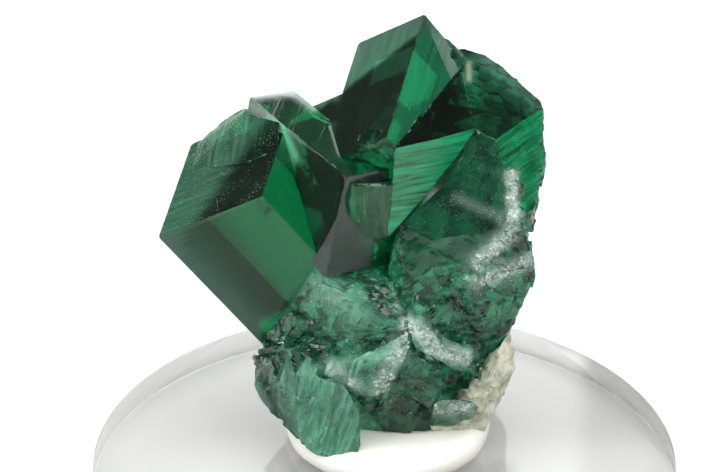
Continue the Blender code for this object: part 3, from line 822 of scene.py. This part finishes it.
def apply_tint(tone, values, here, tint, weight):
    """Mixes a tint in by weight, and makes the surface milkier by its share of milk. Tints carry the painted
    shade and painted glow of sides and strokes as well as whitish cloud.
    """
    share = weight[:, None]
    milk = tint.milk * weight
    tone[here, :3] = tone[here, :3] * (1.0 - share) + np.array(colour(tint.colour)) * share
    values["clear"][here] *= 1.0 - milk
    values["frost"][here] += MILK_FROST * milk
    values["milk"][here] = np.maximum(values["milk"][here], milk)


def side_weight(side, places):
    """How far a side's colour reaches each place, given across and up as seen."""
    start = np.array(side.start)
    run = np.array(side.end) - start
    away = places - start
    right = (away[:, 0] * run[1] - away[:, 1] * run[0]) / np.linalg.norm(run)
    return side.strength / (1.0 + np.exp(-BLUR_SLOPE * right / side.blur))


def veil_and_painted_light_weight(veil_and_painted_light, places, tears):
    """How strong a stroke, veil or painted shade, is at each place, given across and up as seen. Tears break
    those of the front.
    """
    start = np.array(veil_and_painted_light.start)
    run = np.array(veil_and_painted_light.end) - start
    along = np.clip((places - start) @ run / (run @ run), 0.0, 1.0)
    distance = np.linalg.norm(places - (start + along[:, None] * run), axis=1)
    whole = 1.0
    if veil_and_painted_light.zones == FRONT:
        distance *= TEAR_SPREAD + tears
        whole = np.clip(TEAR_GAIN * tears - TEAR_LOSS, 0.0, 1.0)
    return veil_and_painted_light.strength * (np.exp(-((distance / veil_and_painted_light.width) ** 2)) * whole)


def plain_skin(zone, millimetres):
    """Tone, values and pattern places of each corner, as the finish of its zone gives them."""
    tone = np.ones((len(zone), 4))
    values = {key: np.zeros(len(zone)) for key in ("clear", "frost", "striae", "grit", "milk")}
    grain = millimetres.copy()
    for number in np.unique(zone):
        name = ZONES[number]
        here = zone == number
        finish = finish_of(name)
        tone[here, :3] = colour(PAINTED_SHADE_TONES.get(name, finish.colour))
        for key in ("clear", "frost", "striae", "grit"):
            values[key][here] = getattr(finish, key)
        if name in FACES:
            grain[here] = millimetres[here] @ np.array(face_directions(name)).T
    return tone, values, grain


def paint_corners(mesh, zones, outward, points, triangles):
    """Writes tone, grain, clearness, frost, striae and grit on the corners of the cluster, and gives the
    milkiness of each face. The tone holds painted shade, painted glow and painted glints as well as the
    crystal's own green."""
    place = points[triangles].reshape(-1, 3)
    zone = np.repeat(zones, 3)
    millimetres = place / MM
    across_up = as_seen(place)[:, :2]
    to_viewer = np.repeat(outward, 3, axis=0) @ np.array(seen_direction(TO_VIEWER))
    tone, values, grain = plain_skin(zone, millimetres)
    tears = sum(share * noise(millimetres / size, seed) for share, size, seed in TEARS)
    # Random tone of the small chips: partly the crystal's own mottling, partly painted glints and painted
    # shade
    _, chip_mottle_and_glint = chips(millimetres / SMALL_CHIP, ZONES.index("broken_rest") + SMALL_CHIP_SEED)
    front = in_zones(zone, FRONT)
    power = np.array([CHIP_MOTTLE_AND_GLINT.get(name, 1.0) for name in ZONES])[zone]
    mottle_and_glint = (CHIP_DARKEST + CHIP_RANGE * chip_mottle_and_glint ** CHIP_BEND) ** power
    tone[front, :3] *= mottle_and_glint[front, None]
    for side in PAINTED_SHADE_AND_TINT_SIDES:
        here = in_zones(zone, side.zones)
        apply_tint(tone, values, here, side, side_weight(side, across_up[here]))
    for veil_and_painted_light in VEILS_AND_PAINTED_LIGHT:
        here = in_zones(zone, veil_and_painted_light.zones)
        if veil_and_painted_light.zones == FRONT:
            here &= to_viewer > FRONT_TURN
        apply_tint(tone, values, here, veil_and_painted_light, veil_and_painted_light_weight(veil_and_painted_light, across_up[here], tears[here]))
    set_attribute(mesh, "tone", "FLOAT_COLOR", tone)
    set_attribute(mesh, "grain", "FLOAT_VECTOR", grain)
    milk = values.pop("milk")
    for key, value in values.items():
        set_attribute(mesh, key, "FLOAT", value)
    return milk.reshape(-1, 3).mean(axis=1)


def relief(points, zones, outward, triangles):
    """Moves each point out of the faces round it by their relief: growth steps on grown faces, and chips
    on the others."""
    place = points[triangles].reshape(-1, 3) / MM
    zone = np.repeat(zones, 3)
    height = np.zeros(len(place))
    for number in np.unique(zone):
        name = ZONES[number]
        here = zone == number
        spots = place[here]
        if name in FACES and FACES[name].turn < GROWN_TURN:
            across, along, _ = (np.array(direction) for direction in face_directions(name))
            steps = np.column_stack((
                spots @ across / STEP_SPACING, spots @ along / STEP_LENGTH,
                np.full(len(spots), number + 0.5),
            ))
            shape = (noise(steps, number) - 0.5) * 2.0
        else:
            large, _ = chips(spots / LARGE_CHIP, number)
            small, _ = chips(spots / SMALL_CHIP, number + SMALL_CHIP_SEED)
            shape = large * LARGE_SHARE + small * SMALL_SHARE - CHIP_SINK
        height[here] = shape * finish_of(name).relief
    moved = np.zeros_like(points)
    count = np.zeros(len(points))
    corners = triangles.reshape(-1)
    np.add.at(moved, corners, np.repeat(outward, 3, axis=0) * height[:, None])
    np.add.at(count, corners, 1.0)
    return points + moved / np.maximum(count, 1.0)[:, None] * MM


def fluorite_cluster(settings):
    """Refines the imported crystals, gives each zone its relief and its skin, and adds the crust's grains."""
    work = working_copy("fluorite_cluster")
    layer = name_zones(work)
    points, triangles, zones = refined(work, settings.facet_size, layer)
    mesh = mesh_from("fluorite_crystals", points, triangles)
    outward = read_vectors(mesh.polygons, "normal")
    worn = soften_edges(points, triangles, outward, settings.edge_wear, SHARP_TURN)
    moved = inside_box(relief(worn, zones, outward, triangles))
    mesh.vertices.foreach_set("co", moved.astype(np.float32).ravel())
    milk = paint_corners(mesh, zones, outward, points, triangles)
    mesh.update()
    shade_by_angle(mesh, SHARP_TURN)
    broken = in_zones(zones, BROKEN)
    mesh.polygons.foreach_set("use_smooth", ~broken)
    obj = make_object("fluorite_crystals", mesh)
    mesh.materials.append(fluorite_material(settings))
    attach(obj, BODY)
    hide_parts("fluorite_cluster")
    crust_grains(moved, triangles, milk, broken)


def crust_grains(points, triangles, milk, broken):
    """Small angular grains that stand on the white crust and on the whitish chips."""
    chance = np.random.default_rng(GRAIN_SEED)
    corners = points[triangles]
    area = np.linalg.norm(
        np.cross(corners[:, 1] - corners[:, 0], corners[:, 2] - corners[:, 0]), axis=1
    )
    share = area * np.clip(milk - GRAIN_MILK, 0.0, 1.0) * broken
    chosen = chance.choice(len(triangles), GRAIN_COUNT, p=share / share.sum())
    mix = chance.dirichlet((1.0, 1.0, 1.0), GRAIN_COUNT)
    centres = (corners[chosen] * mix[:, :, None]).sum(axis=1)
    axes = np.eye(3)
    tips = np.stack((axes, -axes), axis=1).reshape(-1, 3)
    upper = ((0, 2, 4), (2, 1, 4), (1, 3, 4), (3, 0, 4))
    lower = ((2, 0, 5), (1, 2, 5), (3, 1, 5), (0, 3, 5))
    sides = np.array(upper + lower)
    grain_points = []
    grain_sides = []
    for number, centre in enumerate(centres):
        turn, _ = np.linalg.qr(chance.normal(size=(3, 3)))
        if np.linalg.det(turn) < 0.0:
            turn[0] = -turn[0]
        size = chance.uniform(*GRAIN_SIZE) * MM * chance.uniform(0.6, 1.0, size=(1, 3))
        grain_points.append(centre + (tips * size * chance.uniform(0.7, 1.0, size=(6, 1))) @ turn)
        grain_sides.append(sides + 6 * number)
    mesh = mesh_from("crust_grains", inside_box(np.vstack(grain_points)), np.vstack(grain_sides))
    mesh.materials.append(crust_material())
    obj = make_object("crust_grains", mesh)
    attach(obj, BODY)


DISC_SEGMENTS = 256
PUTTY_SEGMENTS = 128

# Putty, in millimetres: its gap over the disc, how far it reaches up round the crystals, the waves of its
# edge, and the width and depth of its dents
PUTTY_LIFT = 0.02
PUTTY_REACH = 0.5
PUTTY_WAVE = 2.5
PUTTY_DENT = 1.5
PUTTY_DENT_DEPTH = 0.1
PUTTY_SEED = 5
# How far its edge bulges, as a share of half its height, and its top rings, as shares of its radius
PUTTY_BULGE = 0.8
PUTTY_RINGS = (0.8075, 0.665, 0.475, 0.285)
PUTTY_SHARP_TURN = math.radians(60.0)

# Rock, in millimetres: its chips, grit and mottles, each with its height. The chips sink by a share of
# theirs. The seeds are those of chips and grit
ROCK_CHIP = 1.1
ROCK_CHIP_HEIGHT = 0.28
ROCK_GRIT = 0.35
ROCK_GRIT_HEIGHT = 0.22
ROCK_MOTTLE = 1.6
ROCK_MOTTLE_DEPTH = 0.2
ROCK_SINK = 0.2
ROCK_SEEDS = (3, 4)
ROCK_SHARP_TURN = math.radians(35.0)


def turned(name, profile, steps):
    """Round solid from a profile of radius and height in metres, turned about +Z."""
    work = bmesh.new()
    rings = []
    for radius, height in profile:
        count = steps if radius > 0.0 else 1
        turns = [2.0 * math.pi * index / count for index in range(count)]
        rings.append([
            work.verts.new((radius * math.cos(turn), radius * math.sin(turn), height))
            for turn in turns
        ])
    for low, high in zip(rings, rings[1:]):
        for index in range(steps):
            following = index + 1
            corners = [
                low[index % len(low)], low[following % len(low)],
                high[following % len(high)], high[index % len(high)],
            ]
            work.faces.new(list(dict.fromkeys(corners)))
    bmesh.ops.recalc_face_normals(work, faces=work.faces)
    mesh = bpy.data.meshes.new(name)
    work.to_mesh(mesh)
    work.free()
    return mesh


def acrylic_material(settings):
    """Cast acrylic, cut to a disc and flame-polished: nearly as clear as glass, with soft reflections and
    a faint grey in its depth."""
    material, tree, _ = new_material("cast_acrylic_flame_polished", {
        "Base Color": opaque("fafafa"), "Roughness": 0.08, "IOR": settings.refractive_index,
        "Transmission Weight": 0.95,
    })
    depth = add_node(
        tree, "ShaderNodeVolumeAbsorption", {"Color": opaque("e6e4e2"), "Density": 12.0}
    ).outputs["Volume"]
    fill(tree, tree.nodes["Material Output"], {"Volume": depth})
    return material


def acrylic_disc(settings):
    _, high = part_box("acrylic_base")
    radius = high.x
    bend = settings.edge_radius
    quarter = [math.radians(15.0 * step) for step in range(7)]
    bottom = [
        (radius - bend + bend * math.sin(turn), bend - bend * math.cos(turn)) for turn in quarter
    ]
    top = [(across, high.z - height) for across, height in reversed(bottom)]
    profile = [(0.0, 0.0)] + bottom + top + [(0.0, high.z)]
    mesh = turned("acrylic_disc", profile, DISC_SEGMENTS)
    shade_by_angle(mesh, SHARP_TURN)
    mesh.materials.append(acrylic_material(settings))
    obj = make_object("acrylic_disc", mesh)
    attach(obj, BODY)
    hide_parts("acrylic_base")


def putty_material(settings):
    """White putty, pressed by hand: matt, a little soft to the light, with shallow dents."""
    material, tree, shader = new_material("putty_pressed_by_hand", {
        "Base Color": (*settings.surface_colour, 1.0), "Roughness": 0.55, "IOR": 1.45,
        "Subsurface Weight": 0.2, "Subsurface Radius": (1.0 * MM, 1.0 * MM, 0.8 * MM),
    })
    place = add_node(tree, "ShaderNodeTexCoord", {}).outputs["Object"]
    dents = add_node(
        tree, "ShaderNodeTexNoise",
        {"Vector": place, "Scale": 1.0 / (PUTTY_DENT * MM), "Detail": 3.0},
    ).outputs["Fac"]
    bump = add_node(
        tree, "ShaderNodeBump",
        {"Height": dents, "Strength": 0.3, "Distance": PUTTY_DENT_DEPTH * MM},
    ).outputs["Normal"]
    fill(tree, shader, {"Normal": bump})
    return material


def mounting_putty(settings):
    low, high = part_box("mounting_putty")
    radius = (high.x - low.x) / 2.0
    middle = (low + high) / 2.0
    base = (DISC_TOP + PUTTY_LIFT) * MM
    top = high.z + PUTTY_REACH * MM
    half = (top - base) / 2.0
    bulge = half * PUTTY_BULGE
    profile = [(0.0, base)]
    for step in range(9):
        turn = math.pi * step / 8.0 - math.pi / 2.0
        profile.append((radius - bulge + bulge * math.cos(turn), base + half + half * math.sin(turn)))
    for share in PUTTY_RINGS:
        profile.append((radius * share, top))
    profile.append((0.0, top))
    mesh = turned("pressed_putty", profile, PUTTY_SEGMENTS)
    points = read_vectors(mesh.vertices, "co")
    uneven = (noise(points / (PUTTY_WAVE * MM), PUTTY_SEED) - 0.5)[:, None] * settings.spread
    outward = points * (1.0, 1.0, 0.0)
    outward /= np.maximum(np.linalg.norm(outward, axis=1, keepdims=True), TINY)
    points = points + outward * uneven
    points[:, 2] = np.maximum(points[:, 2], base)
    points[:, :2] += np.array(middle)[:2]
    mesh.vertices.foreach_set("co", points.astype(np.float32).ravel())
    shade_by_angle(mesh, PUTTY_SHARP_TURN)
    mesh.materials.append(putty_material(settings))
    obj = make_object("pressed_putty", mesh)
    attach(obj, BODY)
    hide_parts("mounting_putty")


def rock_material(settings):
    """Limestone, broken and weathered: dull and gritty, mottled from brown through greenish grey to
    nearly white."""
    material, tree, shader = new_material("limestone_broken", {"Roughness": 0.8, "IOR": 1.55})
    place = add_node(tree, "ShaderNodeTexCoord", {}).outputs["Object"]
    mottle = add_node(
        tree, "ShaderNodeTexNoise",
        {"Vector": place, "Scale": 1.0 / (ROCK_MOTTLE * MM), "Detail": 6.0, "Roughness": 0.65},
    ).outputs["Fac"]
    shade = add_node(
        tree, "ShaderNodeValToRGB", {"Fac": mottle},
        stops=(
            (0.32, (*settings.dark_colour, 1.0)),
            (0.47, (*settings.middle_colour, 1.0)),
            (0.62, (*settings.pale_colour, 1.0)),
        ),
    ).outputs["Color"]
    bump = add_node(
        tree, "ShaderNodeBump",
        {"Height": mottle, "Strength": 0.6, "Distance": ROCK_MOTTLE_DEPTH * MM},
    ).outputs["Normal"]
    fill(tree, shader, {"Base Color": shade, "Normal": bump})
    return material


def host_rock(settings):
    work = working_copy("matrix_remnant")
    points, triangles, _ = refined(work, settings.facet_size)
    mesh = mesh_from("host_rock", points, triangles)
    normals = read_vectors(mesh.vertices, "normal")
    height, _ = chips(points / (ROCK_CHIP * MM), ROCK_SEEDS[0])
    fine = noise(points / (ROCK_GRIT * MM), ROCK_SEEDS[1]) - 0.5
    rise = (height - ROCK_SINK) * ROCK_CHIP_HEIGHT + fine * ROCK_GRIT_HEIGHT
    points = points + normals * rise[:, None] * MM
    mesh.vertices.foreach_set("co", points.astype(np.float32).ravel())
    shade_by_angle(mesh, ROCK_SHARP_TURN)
    mesh.materials.append(rock_material(settings))
    obj = make_object("host_rock", mesh)
    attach(obj, BODY)
    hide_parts("matrix_remnant")


# Stage: a sheet of paper under the disc, a pale room, soft lights and the camera
FLOOR_GAP = 0.05
FLOOR_CORNERS = ((-2.0, -1.5), (2.0, -1.5), (2.0, 2.0), (-2.0, 2.0))
CRYSTAL_MIDDLE = (0.0, 0.0, 0.02)


class Softbox(NamedTuple):
    """A square light: its name, place and size in metres, power in watts and the point it looks at."""

    name: str
    place: tuple
    size: float
    power: float
    target: tuple = CRYSTAL_MIDDLE


SOFTBOXES = (
    Softbox("top_softbox", (0.0, 0.05, 0.9), 0.9, 9.0),
    Softbox("left_softbox", (-0.8, -0.3, 0.5), 0.5, 6.0),
    Softbox("right_softbox", (0.6, -0.45, 0.65), 0.5, 4.5),
    Softbox("back_card", (-0.042, 0.87, 0.49), 0.31, 0.80, (0.0, 0.0, DISC_TOP * MM)),
)


def paper_sheet(settings):
    """Flat sheet of uncoated paper under the disc: matt and nearly white, with no gloss."""
    points = np.array([(x, y, -FLOOR_GAP * MM) for x, y in FLOOR_CORNERS])
    mesh = mesh_from("paper_sweep", points, np.array([(0, 1, 2, 3)]))
    material, _, _ = new_material("matt_paper", {
        "Base Color": (*settings.floor_colour, 1.0), "Roughness": 0.9,
    })
    mesh.materials.append(material)
    floor = make_object("paper_sweep", mesh)


def stage(settings):
    scene = bpy.context.scene
    paper_sheet(settings)
    world = bpy.data.worlds.new("white_tent")
    world.use_nodes = True
    fill(world.node_tree, world.node_tree.nodes["Background"], {
        "Color": (1.0, 1.0, 1.0, 1.0), "Strength": settings.surround,
    })
    scene.world = world
    for box in SOFTBOXES:
        light = bpy.data.lights.new(box.name, "AREA")
        light.energy = box.power
        light.size = box.size
        lamp = make_object(box.name, light)
        lamp.location = box.place
        aim = Vector(box.target) - Vector(box.place)
        lamp.rotation_euler = aim.to_track_quat("-Z", "Y").to_euler()
    camera = bpy.data.cameras.new("photo_view")
    camera.sensor_fit = "HORIZONTAL"
    camera.sensor_width = SENSOR_WIDTH
    camera.lens = FOCAL_PIXELS / PICTURE_WIDTH * SENSOR_WIDTH
    camera.clip_start = 0.01
    camera.clip_end = 20.0
    viewer = make_object("photo_view", camera)
    viewer.location = seen(VIEW_ACROSS, VIEW_UP, VIEW_DISTANCE)
    viewer.rotation_euler = (math.pi / 2.0 - VIEW_ELEVATION, 0.0, 0.0)
    scene.camera = viewer
    scene.view_settings.view_transform = "Standard"
    # Light has to pass many faces in the clear crystals and the disc
    scene.cycles.max_bounces = 24
    scene.cycles.transmission_bounces = 24
    scene.cycles.glossy_bounces = 12


class SPECIMEN_OT_crystals(bpy.types.Operator):
    """Builds the twinned fluorite crystals with their broken base and white crust"""

    bl_idname = "specimen.crystals"
    bl_label = "Fluorite crystals"

    def execute(self, context):
        fluorite_cluster(context.scene.fluorite)
        return {"FINISHED"}


class SPECIMEN_OT_host_rock(bpy.types.Operator):
    """Builds the rind of host rock"""

    bl_idname = "specimen.host_rock"
    bl_label = "Host rock"

    def execute(self, context):
        host_rock(context.scene.host_rock)
        return {"FINISHED"}


class SPECIMEN_OT_putty(bpy.types.Operator):
    """Builds the putty under the specimen"""

    bl_idname = "specimen.putty"
    bl_label = "Putty"

    def execute(self, context):
        mounting_putty(context.scene.putty)
        return {"FINISHED"}


class SPECIMEN_OT_disc(bpy.types.Operator):
    """Builds the clear acrylic disc"""

    bl_idname = "specimen.disc"
    bl_label = "Acrylic disc"

    def execute(self, context):
        acrylic_disc(context.scene.acrylic_disc)
        return {"FINISHED"}


class SPECIMEN_OT_stage(bpy.types.Operator):
    """Builds the sheet of paper, the lights and the camera"""

    bl_idname = "specimen.stage"
    bl_label = "Stage"

    def execute(self, context):
        stage(context.scene.specimen_stage)
        return {"FINISHED"}


OPERATORS = (
    SPECIMEN_OT_crystals, SPECIMEN_OT_host_rock, SPECIMEN_OT_putty, SPECIMEN_OT_disc,
    SPECIMEN_OT_stage,
)
SETTINGS = {
    "fluorite": FluoriteSettings,
    "host_rock": RockSettings,
    "putty": PuttySettings,
    "acrylic_disc": DiscSettings,
    "specimen_stage": StageSettings,
}


class SPECIMEN_PT_panel(bpy.types.Panel):
    """Lists the builders of the specimen"""

    bl_idname = "SPECIMEN_PT_panel"
    bl_label = "Fluorite specimen"
    bl_space_type = "VIEW_3D"
    bl_region_type = "UI"
    bl_category = "Specimen"

    def draw(self, context):
        for kind in OPERATORS:
            self.layout.operator(kind.bl_idname)
        for name, kind in SETTINGS.items():
            group = getattr(context.scene, name)
            for key in kind.__annotations__:
                self.layout.prop(group, key)


CLASSES = tuple(SETTINGS.values()) + OPERATORS + (SPECIMEN_PT_panel,)


def register():
    for kind in CLASSES:
        bpy.utils.register_class(kind)
    for name, kind in SETTINGS.items():
        setattr(bpy.types.Scene, name, PointerProperty(type=kind))


def unregister():
    for name in SETTINGS:
        delattr(bpy.types.Scene, name)
    for kind in reversed(CLASSES):
        bpy.utils.unregister_class(kind)


def main():
    register()
    bpy.ops.specimen.stage()
    bpy.ops.specimen.disc()
    bpy.ops.specimen.putty()
    bpy.ops.specimen.host_rock()
    bpy.ops.specimen.crystals()


if __name__ == "__main__":
    main()
